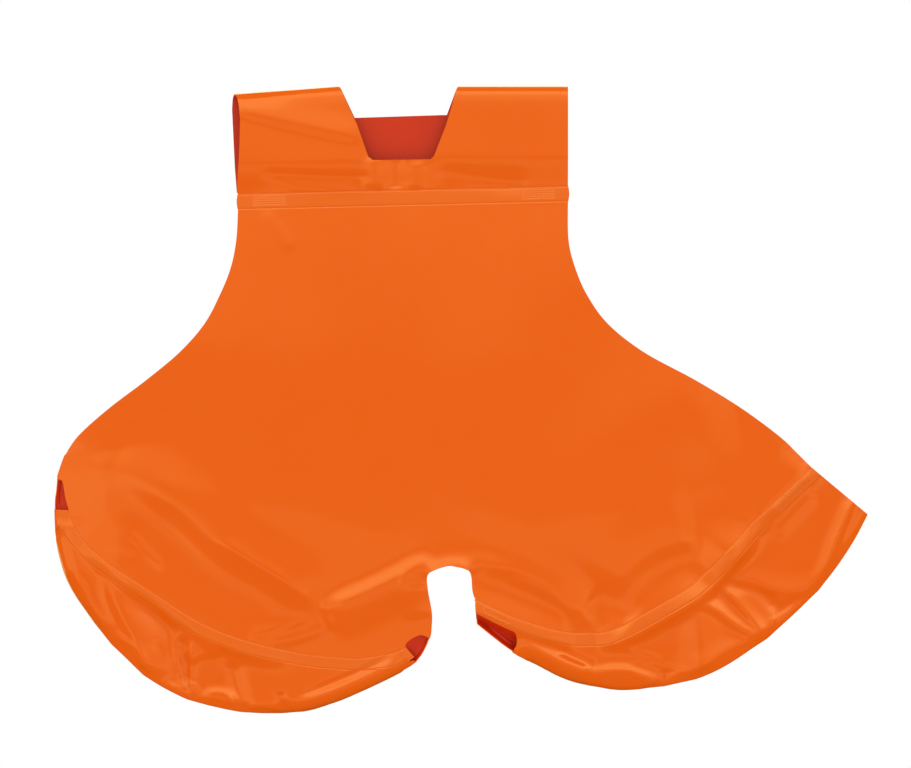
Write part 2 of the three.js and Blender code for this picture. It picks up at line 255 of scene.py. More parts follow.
STROKES = LEFT_LOBE_STROKES + RIGHT_LOBE_STROKES + CROTCH_STROKES + SEAT_STROKES + SLEEVE_STROKES
STROKE_FADE = 0.22

# Faint waves over the whole sheet: (direction, phase).
WAVES = [(RNG.uniform(-1, 1, 2), RNG.uniform(0, 2 * math.pi)) for _ in range(14)]
WAVE_HEIGHT = 0.16
WAVE_LENGTH = 22.0


def spline(points, t):
    """The points at t, from 0 to 1, of the smooth curve through evenly spaced points."""
    p = np.asarray(points, float)
    last = len(p) - 1
    x = np.clip(np.atleast_1d(np.asarray(t, float)), 0, 1) * last
    i = np.minimum(x.astype(int), last - 1)
    w = (x - i)[:, None]
    a = (p[i + 1] - p[np.maximum(i - 1, 0)]) / 2
    b = (p[np.minimum(i + 2, last)] - p[i]) / 2
    cubic = 2 * (p[i] - p[i + 1]) + a + b
    square = 3 * (p[i + 1] - p[i]) - 2 * a - b
    return cubic * w**3 + square * w**2 + a * w + p[i]


def even(points, step):
    """Points about a step apart along the smooth curve through the given points."""
    dense = spline(points, np.linspace(0, 1, 40 * len(points)))
    run = np.concatenate([[0], np.cumsum(np.linalg.norm(np.diff(dense, axis=0), axis=1))])
    count = max(int(round(run[-1] / step)), 2)
    at = np.linspace(0, run[-1], count + 1)
    return np.stack([np.interp(at, run, dense[:, 0]), np.interp(at, run, dense[:, 1])], 1)


def smooth(x):
    """A soft step from 0 to 1."""
    x = np.clip(x, 0, 1)
    return x * x * (3 - 2 * x)


def stroke_height(xz, points, height, left, right, power):
    """One stroke's height at each (x, z)."""
    line = spline(points, np.linspace(0, 1, 8 * (len(points) - 1) + 1))
    reach = 3 * max(left, right)
    low, high = line.min(0) - reach, line.max(0) + reach
    out = np.zeros(len(xz))
    near = np.all((xz > low) & (xz < high), axis=1)
    if not near.any():
        return out
    p = xz[near][:, None, :]
    a, d = line[:-1], np.diff(line, axis=0)
    along = np.clip(((p - a) * d).sum(2) / (d * d).sum(1), 0, 1)
    away = p - (a + along[..., None] * d)
    distance = np.linalg.norm(away, axis=2)
    best = distance.argmin(1)
    rows = np.arange(len(best))
    side = d[best, 0] * away[rows, best, 1] - d[best, 1] * away[rows, best, 0]
    width = np.where(side > 0, left, right)
    t = (best + along[rows, best]) / len(d)
    fade = smooth(t / STROKE_FADE) * smooth((1 - t) / STROKE_FADE)
    out[near] = height * fade * np.exp(-((distance[rows, best] / width) ** power))
    return out


def relief(xz):
    """How far the outer side stands proud of the plain hanging shape at each (x, z)."""
    total = sum(stroke_height(xz, *s) for s in STROKES)
    for direction, phase in WAVES:
        total = total + WAVE_HEIGHT * np.sin((xz @ direction) / WAVE_LENGTH + phase)
    return total


# ---- the plain hanging shape ----------------------------------------------------------------------


def below_crease(leg, xz):
    """How far below a leg's crease each (x, z) lies."""
    inner, outer = np.asarray(leg["crease"], float)
    d = (outer - inner) / np.linalg.norm(outer - inner)
    return abs(d[0]) * (inner[1] - xz[:, 1]) + np.sign(d[0]) * d[1] * (xz[:, 0] - inner[0])


def waist_z(x, z0):
    """The height at x of a line that leans as the waist does and crosses x = 0 at z0."""
    return z0 + WAIST_TILT * x


def drape(xz):
    """The depth of the seat and of the leg panels."""
    left = xz[:, 0] < CROTCH_X
    q = np.where(left, below_crease(LEGS["left"], xz), below_crease(LEGS["right"], xz))
    above = np.maximum(-q, 0)
    below = np.maximum(waist_z(xz[:, 0], WAIST_AXIS) - xz[:, 1], 0)
    seat = -SEAT_BULGE * np.sin(np.pi * below / (below + above + 1e-6))
    return np.where(q > 0, LOBE_SLOPE * q, seat)


def hem_roll(seen, width):
    """How a hem hides its spare width: a flat stretch, then a roll of this radius and turn."""
    radius = np.minimum(HEM_ROLL, HEM_ROLL_SHARE * seen)
    spare = (width - seen) / radius
    low, high = np.zeros(seen.shape), np.full(seen.shape, math.pi / 2)
    for _ in range(30):
        t = (low + high) / 2
        more = t - np.sin(t) < spare
        low, high = np.where(more, t, low), np.where(more, high, t)
    full = np.minimum((width - seen) / radius + 1, HEM_TURN_MOST)
    turn = np.where(spare > math.pi / 2 - 1, full, low)
    flat = seen - radius * np.sin(np.minimum(turn, math.pi / 2))
    return flat, radius, turn


def hem_width(leg, u):
    """The width of hem that the seam and the fold leave room for, and the part of it that shows."""
    seen = np.linalg.norm(spline(leg["fold"], u) - spline(leg["seam"], u), axis=1)
    start, end = leg["flat_ends"]
    flat = 1 - smooth((u - start[0]) / start[1]) * smooth((end[0] - u) / end[1])
    least = seen * SEEN_SLACK
    full = np.maximum(HEM_WIDTH, least)
    return full + (least - full) * flat, seen


def fold_radius(width):
    """The radius of the fold at the edge of a hem of this width."""
    return np.minimum(HEM_ROOM / 2, FOLD_ROOM_SHARE * width)


def hem_section(leg, u, s, d):
    """A hem's own section: how far out from the seam line and how far back each point lies."""
    width, seen = hem_width(leg, u)
    flat, radius, turn = hem_roll(seen, width)
    angle = np.clip((s - flat) / radius, 0, turn)
    rest = np.maximum(s - flat - turn * radius, 0)
    ahead = np.minimum(s, flat)
    away = ahead + radius * np.sin(angle) + rest * np.cos(angle) - d * np.sin(angle)
    behind = radius * (1 - np.cos(angle)) + rest * np.sin(angle) + d * np.cos(angle)
    return away, behind, angle


def hem_points(leg, u, s, d):
    """Points at u along the seam, s out from its top line and d behind the sheet's middle, and the
    directions that face the viewer there."""
    start = spline(leg["seam"], u)
    out = spline(leg["fold"], u) - start
    width, seen = hem_width(leg, u)
    out = out / seen[:, None]
    away, behind, angle = hem_section(leg, u, s, d)
    # The outermost point of the fold is brought to the outline.
    r = fold_radius(width)
    round_fold = [(width + r * (math.cos(t) - 1), r * (1 + math.sin(t)))
                  for t in np.linspace(-1.5, 1.5, 7)]
    along_wall = [((width - r) * share, np.zeros(len(u))) for share in np.linspace(0.2, 1, 15)]
    furthest = np.max([hem_section(leg, u, *place)[0] for place in round_fold + along_wall], axis=0)
    hold = leg["weld"] * HELD_WELD_SHARE
    stretch = (seen - hold) / np.maximum(furthest - hold, 1)
    away = np.where(away > hold, hold + (away - hold) * stretch, away)
    lean = LOBE_SLOPE * np.maximum(below_crease(leg, start), 0)
    place = start + out * away[:, None]
    points = np.stack([place[:, 0], lean + behind, place[:, 1]], 1)
    facing = np.stack([out[:, 0] * np.sin(angle), -np.cos(angle), out[:, 1] * np.sin(angle)], 1)
    return points, facing


def along_fold(leg, point):
    """How far along a leg's fold, from 0 to 1, the nearest place to a point is."""
    u = np.linspace(0, 1, 500)
    return u[np.linalg.norm(spline(leg["fold"], u) - point, axis=1).argmin()]


# ---- meshes ---------------------------------------------------------------------------------------


def vertex_normals(points, faces):
    """Each point's normal, as the mean of its triangles' normals by area."""
    corners = points[faces]
    n = np.cross(corners[:, 1] - corners[:, 0], corners[:, 2] - corners[:, 0])
    total = np.zeros_like(points)
    for k in range(3):
        np.add.at(total, faces[:, k], n)
    return total / np.maximum(np.linalg.norm(total, axis=1), 1e-9)[:, None]


def grid_faces(rows, columns):
    """The triangles of a grid of points, row by row."""
    i = np.arange(rows * columns).reshape(rows, columns)
    a, b, c, d = i[:-1, :-1].ravel(), i[:-1, 1:].ravel(), i[1:, 1:].ravel(), i[1:, :-1].ravel()
    return np.concatenate([np.stack([a, b, c], 1), np.stack([a, c, d], 1)])


def sheet_object(name, outer, faces, materials, thickness=SHEET, normals=None):
    """A closed sheet under its outer side, which faces -Y or the way the given normals point.

    The outer side and the rim take the first material, and the reverse takes the last."""
    used = np.unique(faces)
    back = np.full(len(outer), -1)
    back[used] = np.arange(len(used))
    n = vertex_normals(outer, faces)
    wanted = np.array([[0, -1, 0]]) if normals is None else normals[used]
    if (n[used] * wanted).sum() < 0:
        faces = faces[:, ::-1]
        n = -n
    if normals is not None:
        n = normals
    faces = back[faces]
    outer, n = outer[used], n[used]
    inner = outer - n * thickness
    count = len(outer)
    edges = np.concatenate([faces[:, [0, 1]], faces[:, [1, 2]], faces[:, [2, 0]]])
    key = edges.min(1) * count + edges.max(1)
    _, first, times = np.unique(key, return_index=True, return_counts=True)
    rim = edges[first[times == 1]]
    points = np.concatenate([outer, inner]) * MM
    triangles = [tuple(f) for f in faces.tolist()]
    reverse = [tuple(f) for f in (faces[:, ::-1] + count).tolist()]
    quads = [(b, a, a + count, b + count) for a, b in rim.tolist()]
    mesh = bpy.data.meshes.new(name)
    mesh.from_pydata(points.tolist(), [], triangles + reverse + quads)
    for material in materials:
        mesh.materials.append(material)
    mesh.polygons.foreach_set("use_smooth", [True] * len(mesh.polygons))
    slots = [0] * len(triangles) + [len(materials) - 1] * len(reverse) + [0] * len(quads)
    mesh.polygons.foreach_set("material_index", slots)
    directions = np.concatenate([n, -n])
    loops = []
    for polygon in mesh.polygons:
        if polygon.index < len(triangles) + len(reverse):
            loops.extend(directions[v].tolist() for v in polygon.vertices)
        else:
            loops.extend([tuple(polygon.normal)] * len(polygon.vertices))
    mesh.normals_split_custom_set(loops)
    mesh.update()
    item = bpy.data.objects.new(name, mesh)
    bpy.context.scene.collection.objects.link(item)
    return item


def fill(outline, step, hole=None):
    """Triangles over an outline, less a hole, with inner points about a step apart."""
    loops = [np.asarray(loop, float) for loop in (outline, hole) if loop is not None]
    points, edges = [], []
    for loop in loops:
        start = len(points)
        points.extend(loop.tolist())
        edges.extend((start + i, start + (i + 1) % len(loop)) for i in range(len(loop)))
    fixed = np.array(points)

    def on_sheet(places):
        good = inside(places, loops[0])
        for loop in loops[1:]:
            good &= ~inside(places, loop)
        return good

    low, high = loops[0].min(0), loops[0].max(0)
    inner = []
    for row, z in enumerate(np.arange(low[1], high[1], step * math.sqrt(3) / 2)):
        xs = np.arange(low[0] + (row % 2) * step / 2, high[0], step)
        inner.append(np.stack([xs, np.full(len(xs), z)], 1))
    inner = np.concatenate(inner)
    inner = inner[on_sheet(inner)]
    keep = np.ones(len(inner), bool)
    for some in np.array_split(fixed, max(len(fixed) // 200, 1)):
        keep &= np.linalg.norm(inner[:, None] - some[None], axis=2).min(1) > 0.62 * step
    points.extend(inner[keep].tolist())
    found, _, faces, *_ = delaunay_2d_cdt([Vector(p) for p in points], edges, [], 0, 1e-6)
    found = np.array([tuple(v) for v in found])
    faces = np.array([f for f in faces if len(f) == 3])
    return found, faces[on_sheet(found[faces].mean(1))]


def inside(points, loop):
    """Which points lie within a closed loop."""
    x, z = points[:, 0], points[:, 1]
    result = np.zeros(len(points), bool)
    for (x0, z0), (x1, z1) in zip(loop, np.roll(loop, -1, axis=0)):
        crosses = (z0 > z) != (z1 > z)
        with np.errstate(divide="ignore", invalid="ignore"):
            at = (x1 - x0) * (z - z0) / (z1 - z0) + x0
        result ^= crosses & (x < at)
    return result


# ---- materials ------------------------------------------------------------------------------------


def srgb(r, g, b):
    """A shader colour from screen values of 0 to 255."""

    def linear(c):
        c /= 255
        return c / 12.92 if c <= 0.04045 else ((c + 0.055) / 1.055) ** 2.4

    return (linear(r), linear(g), linear(b), 1)


def pvc(name, colour, shade, roughness, grain, shine=0.5):
    """Soft PVC: two close shades in slow clouds, an uneven gloss and a fine moulded grain."""
    material = bpy.data.materials.new(name)
    material.use_nodes = True
    nodes, links = material.node_tree.nodes, material.node_tree.links
    shader = nodes["Principled BSDF"]
    shader.inputs["IOR"].default_value = 1.54
    shader.inputs["Specular IOR Level"].default_value = shine
    place = nodes.new("ShaderNodeTexCoord")

    def noise(scale, detail):
        node = nodes.new("ShaderNodeTexNoise")
        node.inputs["Scale"].default_value = scale
        node.inputs["Detail"].default_value = detail
        links.new(place.outputs["Object"], node.inputs["Vector"])
        return node

    clouds = noise(14, 3)
    mix = nodes.new("ShaderNodeMix")
    mix.data_type = "RGBA"
    mix.inputs["A"].default_value = colour
    mix.inputs["B"].default_value = shade
    links.new(clouds.outputs["Fac"], mix.inputs["Factor"])
    links.new(mix.outputs["Result"], shader.inputs["Base Color"])

    gloss = nodes.new("ShaderNodeMapRange")
    gloss.inputs["To Min"].default_value = roughness - 0.03
    gloss.inputs["To Max"].default_value = roughness + 0.05
    links.new(noise(60, 4).outputs["Fac"], gloss.inputs["Value"])
    links.new(gloss.outputs["Result"], shader.inputs["Roughness"])

    bump = nodes.new("ShaderNodeBump")
    bump.inputs["Strength"].default_value = grain
    bump.inputs["Distance"].default_value = 0.0002
    links.new(noise(900, 2).outputs["Fac"], bump.inputs["Height"])
    links.new(bump.outputs["Normal"], shader.inputs["Normal"])
    return material


FACE = pvc("pvc_face", srgb(243, 99, 0), srgb(241, 96, 0), 0.15, 0.08)
REVERSE = pvc("pvc_reverse", srgb(212, 46, 4), srgb(206, 42, 3), 0.4, 0.2, shine=0.2)
WELD = pvc("pvc_weld", srgb(243, 104, 2), srgb(241, 101, 1), 0.2, 0.08)
STAMP = pvc("pvc_stamp", srgb(244, 111, 12), srgb(240, 103, 6), 0.25, 0.15)


# ---- panels ---------------------------------------------------------------------------------------


def outer_surface(xz):
    """The outer side of the seat and leg panels."""
    y = drape(xz) - SHEET / 2 - relief(xz)
    return np.stack([xz[:, 0], y, xz[:, 1]], 1)


def panels():
    """The seat, the crotch tongue and the two leg panels, cut from one surface."""
    seams = {
        side: spline(leg["seam"], np.linspace(*leg["joined"], COLUMNS + 1))
        for side, leg in LEGS.items()
    }
    x_top = np.linspace(BELT_HALF, -BELT_HALF, BELT_COLUMNS)
    top = np.stack([x_top, waist_z(x_top, WELD_BOTTOM)], 1)
    left, right = LEGS["left"], LEGS["right"]
    arch = even([left["inner_edge"][0], (42, -384), right["inner_edge"][0]], EDGE_STEP)
    outline = np.concatenate([
        top,
        even([tuple(top[-1])] + SIDES["left"][1:], PANEL_STEP)[1:-1],
        even(left["outer_edge"][::-1], EDGE_STEP)[:-1],
        seams["left"][::-1],
        even(left["inner_edge"][::-1], EDGE_STEP)[:-1],
        arch[:-1],
        even(right["inner_edge"], EDGE_STEP)[:-1],
        seams["right"][:-1],
        even(right["outer_edge"], EDGE_STEP)[:-1],
        even(SIDES["right"][::-1][:-1] + [tuple(top[0])], PANEL_STEP)[:-1],
    ])
    points, faces = fill(outline, PANEL_STEP)
    outer = outer_surface(points)
    normals = vertex_normals(outer, faces)
    if normals[:, 1].sum() > 0:
        normals = -normals
    middle = points[faces].mean(1)
    tongue = (np.abs(middle[:, 0] - CROTCH_X) < TONGUE_HALF) & (middle[:, 1] < TONGUE_TOP)
    on_left = middle[:, 0] < CROTCH_X
    q = np.where(on_left, below_crease(left, middle), below_crease(right, middle))
    low = (q > -CREASE_LAP) & ~tongue
    parts = {
        "seat": ~low & ~tongue,
        "crotch": tongue,
        "left": low & on_left,
        "right": low & ~on_left,
    }
    return {
        name: sheet_object(f"{name}_sheet", outer, faces[chosen], [FACE, REVERSE], normals=normals)
        for name, chosen in parts.items()
    }


# ---- belt sleeve ----------------------------------------------------------------------------------

# The left loop's open end: (run over the sleeve as a share of the way to the crown, shift in x).
LOOP_END = [(0, -1), (0.1, -0.5), (0.25, 0.5), (0.48, 1.6), (0.72, 2.1), (0.86, 1), (0.93, -0.6),
            (1.0, -3.2), (1.08, -5), (1.18, -5.5), (1.45, -4.3), (1.75, -3), (2, -1)]


def belt_section():
    """The sleeve's middle line, as (y, z) against the run from the front weld over the fold."""
    r = BELT_ROOM / 2
    t = np.linspace(0, 1, 12)[:, None]

    def bend(a, b, c, d):
        return (1 - t) ** 3 * a + 3 * (1 - t) ** 2 * t * b + 3 * (1 - t) * t**2 * c + t**3 * d

    foot = np.array([-(SHEET + FOOT_GAP) / 2, WELD_TOP])
    hip = np.array([-r, WELD_TOP + BELT_TAPER])
    taper = bend(foot, foot + [0, BELT_TAPER * 0.15], hip - [0, BELT_TAPER * 0.25], hip)
    wall = np.linspace(hip, [-r, BELT_TOP - SHEET / 2 - r], 24)[1:]
    turn = np.linspace(math.pi, math.pi / 2, 12)[1:]
    crown = np.stack([r * np.cos(turn), BELT_TOP - SHEET / 2 - r + r * np.sin(turn)], 1)
    front = np.concatenate([taper, wall, crown])
    back = front[:-1][::-1] * [-1, 1]
    section = np.concatenate([front, back])
    run = np.concatenate([[0], np.cumsum(np.linalg.norm(np.diff(section, axis=0), axis=1))])
    return section, run, len(front) - 1


def belt_sleeve():
    """The belt sleeve's two walls and crown, as one folded sheet with the notch cut through it."""
    section, run, crown = belt_section()
    length, top = run[-1], run[crown]

    def run_at(z, front):
        if front:
            return float(np.interp(z, section[:crown + 1, 1], run[:crown + 1]))
        return float(np.interp(-z, -section[crown:, 1], run[crown:]))

    hole = []
    for i, (x, z) in enumerate(NOTCH):
        on_front = i >= len(NOTCH) / 2
        hole.append((x, top if z >= BELT_TOP - SHEET else run_at(z, on_front)))
    hole_loop = []
    for a, b in zip(hole, hole[1:] + hole[:1]):
        count = max(int(math.dist(a, b) / EDGE_STEP), 1)
        hole_loop.extend(np.linspace(a, b, count, endpoint=False).tolist())
    columns = np.linspace(-BELT_HALF, BELT_HALF, BELT_COLUMNS)
    rows = np.linspace(0, length, int(length / BELT_ROW))
    outline = np.concatenate([
        np.stack([columns[:-1], np.zeros(len(columns) - 1)], 1),
        np.stack([np.full(len(rows) - 1, BELT_HALF), rows[:-1]], 1),
        np.stack([columns[::-1][:-1], np.full(len(columns) - 1, length)], 1),
        np.stack([np.full(len(rows) - 1, -BELT_HALF), rows[::-1][:-1]], 1),
    ])
    flat, faces = fill(outline, BELT_STEP, hole=hole_loop)
    x, s = flat[:, 0], flat[:, 1]
    y, z = np.interp(s, run, section[:, 0]), np.interp(s, run, section[:, 1])
    share = np.clip((z - WELD_TOP) / (BELT_TOP - WELD_TOP), 0, 1)
    front = smooth((top - s) / 12 + 0.5)
    # The left loop's crown drops towards its end, where the two walls part.
    drop = LOOP_DROP * np.clip((LOOP_START - x) / (BELT_HALF + LOOP_START), 0, 1)
    z_leaned = z + WAIST_TILT * x * (1 - share) + share * (CROWN_RISE - drop)
    near_end = smooth((LOOP_END_START - x) / (BELT_HALF + LOOP_END_START))
    end_run, end_shift = np.array(LOOP_END).T
    x_moved = x + near_end * np.interp(s, end_run * top, end_shift)
    opened = LOOP_OPEN * near_end * np.sin(np.pi * share) ** 0.7 * np.sign(y)
    # The front wall and the foot of both walls follow the relief.
    proud = relief(np.stack([x, z_leaned], 1)) * np.maximum(front, smooth((0.3 - share) / 0.3))
    # The front wall rounds back towards the crown, and the back wall sags in slow waves.
    shoulder = SHOULDER_DEPTH * np.clip((z - BELT_TOP + SHOULDER) / SHOULDER, 0, 1) ** 2 * (s < top)
    sag = BACK_SAG * np.sin(np.pi * share) * np.sin(x / 37.0 + 0.8) * (1 - front)
    outer = np.stack([x_moved, y + opened - proud + sag + shoulder * front, z_leaned], 1)
    normals = vertex_normals(outer, faces)
    if normals[(s > 20) & (s < 60), 1].sum() > 0:
        normals = -normals
    outer = outer + normals * (SHEET / 2)
    return sheet_object("belt_tunnel_sheet", outer, faces, [FACE, REVERSE], normals=normals)


# A weld's pressed line lies this share of the width inside each edge.
WELD_LINE = 0.07
WELD_LINE_WIDTH = 0.035
WELD_RISE = 0.35
WELD_GROOVE = 0.55
WELD_EDGE = 0.12
WELD_SPREAD = 1.2
WELD_SPREAD_RUN = 2.5
WELD_ROWS = np.array([0, 0.03, 0.05, 0.07, 0.09, 0.12, 0.17, 0.3, 0.5, 0.7, 0.83, 0.88, 0.91,
                      0.93, 0.95, 0.97, 1])


def weld_profile(t):
    """Across a weld, from 0 to 1: a pressed line just inside each edge and a flat, raised middle."""
    first = np.exp(-(((t - WELD_LINE) / WELD_LINE_WIDTH) ** 2))
    second = np.exp(-(((t - 1 + WELD_LINE) / WELD_LINE_WIDTH) ** 2))
    plateau = smooth(t / WELD_EDGE) * smooth((1 - t) / WELD_EDGE)
    return WELD_RISE * plateau - WELD_GROOVE * (first + second)


def waist_weld():
    """The weld band under the belt sleeve."""
    x = np.linspace(-BELT_HALF, BELT_HALF, BELT_COLUMNS)
    t, xx = np.meshgrid(WELD_ROWS, x, indexing="ij")
    t, xx = t.ravel(), xx.ravel()
    # Both ends of the weld stand a little past the sheet, where it spread under the press.
    end = smooth((np.abs(xx) - BELT_HALF + WELD_SPREAD_RUN) / WELD_SPREAD_RUN)
    wide = xx + np.sign(xx) * end * WELD_SPREAD * np.sin(np.pi * t)
    z = waist_z(xx, WELD_TOP + t * (WELD_BOTTOM - WELD_TOP))
    y = -SHEET / 2 - relief(np.stack([xx, z], 1)) - weld_profile(t)
    outer = np.stack([wide, y, z], 1)
    return sheet_object("waist_weld_band", outer, grid_faces(len(WELD_ROWS), len(x)), [WELD],
                        thickness=2 * SHEET)


STAMP_LENGTH = 30.0
STAMP_HEIGHT = 10.0
STAMP_ROWS = 23
STAMP_COLUMNS = 64
STAMP_PROUD = 0.45
STAMP_THICKNESS = 0.6
STAMP_BORDER = 1.5
KNURL_DEPTH = 0.4
KNURL_PITCH = 1.6


def stamp_grid(length, height, rows):
    """Evenly spread places on a weld stamp, along it and across it, and its triangles."""
    across = np.linspace(-height / 2, height / 2, rows)
    along = np.linspace(-length / 2, length / 2, STAMP_COLUMNS)
    v, u = np.meshgrid(across, along, indexing="ij")
    return u.ravel(), v.ravel(), grid_faces(rows, STAMP_COLUMNS)


def waist_tack(name, x):
    """A weld stamp on the waist weld, its middle at x."""
    u, v, faces = stamp_grid(STAMP_LENGTH, STAMP_HEIGHT, STAMP_ROWS)
    flat = np.stack([x + u, waist_z(x + u, (WELD_TOP + WELD_BOTTOM) / 2 + v)], 1)
    y = -SHEET / 2 - relief(flat) - STAMP_PROUD - knurl(u, v)
    outer = np.stack([flat[:, 0], y, flat[:, 1]], 1)
    return sheet_object(name, outer, faces, [STAMP], thickness=STAMP_THICKNESS)


def knurl(u, v):
    """A press tool's cross-hatched print, inside a smooth border."""
    edge_u, edge_v = STAMP_LENGTH / 2 - np.abs(u), STAMP_HEIGHT / 2 - np.abs(v)
    border = smooth(edge_u / STAMP_BORDER) * smooth(edge_v / STAMP_BORDER)
    return KNURL_DEPTH * border * np.sin((u + v) * KNURL_PITCH) * np.sin((u - v) * KNURL_PITCH)


# ---- leg sleeves ----------------------------------------------------------------------------------


def leg_weld(side, leg):
    """The weld band along a hem's top line."""
    u = np.linspace(*leg["joined"], COLUMNS + 1)
    t, uu = np.meshgrid(WELD_ROWS, u, indexing="ij")
    t, uu = t.ravel(), uu.ravel()
    base, facing = hem_points(leg, uu, t * leg["weld"], np.full(len(uu), -SHEET / 2))
    rise = relief(base[:, [0, 2]]) + weld_profile(t)
    outer = base + facing * rise[:, None]
    return sheet_object(f"{side}_leg_weld_band", outer, grid_faces(len(WELD_ROWS), len(u)), [WELD],
                        thickness=2 * SHEET)


# Round a hem sleeve, as a share: where the front wall, the fold and the open part of the flap end.
FRONT_SHARE = 0.42
FOLD_SHARE = 0.55
FLAP_SHARE = 0.92
CREST = (FRONT_SHARE + FOLD_SHARE) / 2
HEM_RUN = 140.0
END_ROWS = 24
TAB_COLUMNS = 14
NARROW_BOW = 0.012
# The pleats and pinches at a hem's tips: height, half width and sharpness. A pleat leans as well.
PLEAT = 2.6
PLEAT_WIDTH = 4.5
PLEAT_POWER = 1.4
PLEAT_LEAN = 8
PINCH = 1.0
PINCH_WIDTH = 6.0
PINCH_POWER = 1.3
BELLY = 1.6
BELLY_WAVES = 61.0


def hem_path(leg, width, share):
    """Where a share of the way round the sleeve lies: (s, d) from the weld, round the fold and back."""
    r = fold_radius(width)
    end = width - SHEET / 2 - r
    near = np.minimum(leg["weld"] + HEM_TAPER, 0.85 * end)
    turn = -math.pi / 2 + math.pi * np.clip((share - FRONT_SHARE) / (FOLD_SHARE - FRONT_SHARE), 0, 1)
    close = smooth((share - FLAP_SHARE) / (1 - FLAP_SHARE))
    start = np.minimum(leg["weld"], 0.9 * end)
    front = start + (end - start) * np.clip(share / FRONT_SHARE, 0, 1)
    back = end + (near - end) * (share - FOLD_SHARE) / (FLAP_SHARE - FOLD_SHARE)
    last = near - HEM_TAPER * (share - FLAP_SHARE) / (1 - FLAP_SHARE)
    s = np.where(share < FRONT_SHARE, front, end + r * np.cos(turn))
    s = np.where(share > FOLD_SHARE, back, s)
    s = np.where(share > FLAP_SHARE, last, s)
    d = r + r * np.sin(turn) - (2 * r - SHEET - 0.1) * close
    return s, d


def sleeve_outline(leg, length):
    """The sleeve laid flat: the front wall stops at the mouths, and the flap runs on past them."""
    first, last = leg["joined"]
    v = np.linspace(0, CREST, END_ROWS)
    swell = np.sin(np.pi * np.clip(v / (CREST * 0.96), 0, 1)) ** 0.6
    start_bow, end_bow = leg["mouths"]
    if first == 0:
        first, start_bow = start_bow, NARROW_BOW
    inner = np.stack([first + start_bow * swell, v], 1)
    outer = np.stack([last + end_bow * swell, v], 1)
    runs = [
        inner[::-1],
        np.stack([np.linspace(inner[0, 0], outer[0, 0], COLUMNS), np.zeros(COLUMNS)], 1)[1:-1],
        outer,
    ]
    if last < 1:
        u = np.linspace(outer[-1, 0], 1, TAB_COLUMNS)[1:-1]
        runs.append(np.stack([u, np.full(len(u), CREST)], 1))
    runs.append(np.stack([np.ones(END_ROWS), np.linspace(CREST, 1, END_ROWS + 1)[1:]], 1))
    runs.append(np.stack([np.linspace(1, 0, COLUMNS), np.ones(COLUMNS)], 1)[1:-1])
    runs.append(np.stack([np.zeros(END_ROWS + 1), np.linspace(1, CREST, END_ROWS + 1)], 1))
    if first > 0:
        u = np.linspace(0, inner[-1, 0], TAB_COLUMNS)[1:-1]
        runs.append(np.stack([u, np.full(len(u), CREST)], 1))
    return np.concatenate(runs) * [length, HEM_RUN]


def tucks(leg, length, u, share):
    """How the tips gather a hem: pleats across the flap, and the fold drawn out."""
    pleat = np.zeros(len(u))
    pinch = np.zeros(len(u))
    for i, point in enumerate(leg["tips"]):
        off = (u - along_fold(leg, point)) * length
        lean = (-1) ** i * PLEAT_LEAN * (share - 0.45)
        on_flap = smooth((share - FOLD_SHARE) / 0.12)
        pleat += PLEAT * np.exp(-np.abs((off - lean) / PLEAT_WIDTH) ** PLEAT_POWER) * on_flap
        pinch += PINCH * np.exp(-np.abs(off / PINCH_WIDTH) ** PINCH_POWER)
    return pleat, pinch * np.exp(-((share - CREST) / 0.07) ** 2)


def leg_sleeve(side, leg):
    """A hem: front wall, fold and flap, as one sheet that is filled flat and then bent round."""
    seam = spline(leg["seam"], np.linspace(0, 1, 400))
    length = np.linalg.norm(np.diff(seam, axis=0), axis=1).sum()
    flat, faces = fill(sleeve_outline(leg, length), HEM_STEP)
    u, share = flat[:, 0] / length, flat[:, 1] / HEM_RUN
    width, _ = hem_width(leg, u)
    s, d = hem_path(leg, width, share)
    ahead, behind = hem_path(leg, width, share + 0.002), hem_path(leg, width, share - 0.002)
    tangent = np.stack([ahead[0] - behind[0], ahead[1] - behind[1]], 1)
    tangent /= np.linalg.norm(tangent, axis=1)[:, None]
    s = s + tangent[:, 1] * SHEET / 2
    d = d - tangent[:, 0] * SHEET / 2
    base, facing = hem_points(leg, u, s, d)
    # The front wall and the welded foot of the flap follow the panel's relief.
    front_wall = smooth((FRONT_SHARE + 0.01 - share) / 0.05)
    foot = smooth((share - 0.8) / 0.14)
    lift = relief(base[:, [0, 2]]) * np.maximum(front_wall, foot)
    # The flap between them billows and pleats, less where the hem rolls back and near its weld.
    pleat, pinch = tucks(leg, length, u, share)
    billow = BELLY * np.sin(u * BELLY_WAVES) * np.sin(np.pi * np.clip((share - 0.5) / 0.5, 0, 1))
    calm = np.clip(-facing[:, 1], 0, 1) * smooth((1 - share) / 0.1) * smooth((share - CREST) / 0.08)
    outer = base + facing * (lift - (pleat + billow) * calm)[:, None]
    out = spline(leg["fold"], u) - spline(leg["seam"], u)
    out /= np.linalg.norm(out, axis=1)[:, None]
    outer[:, [0, 2]] += out * pinch[:, None]
    normals = vertex_normals(outer, faces)
    front = share < 0.3
    if (normals[front] * facing[front]).sum() < 0:
        normals = -normals
    return sheet_object(f"{side}_leg_tunnel", outer, faces, [FACE, REVERSE], normals=normals)


LEG_STAMP_DROP = 6.5
LEG_STAMP_PROUD = 0.55
LEG_STAMP_ROWS = 19


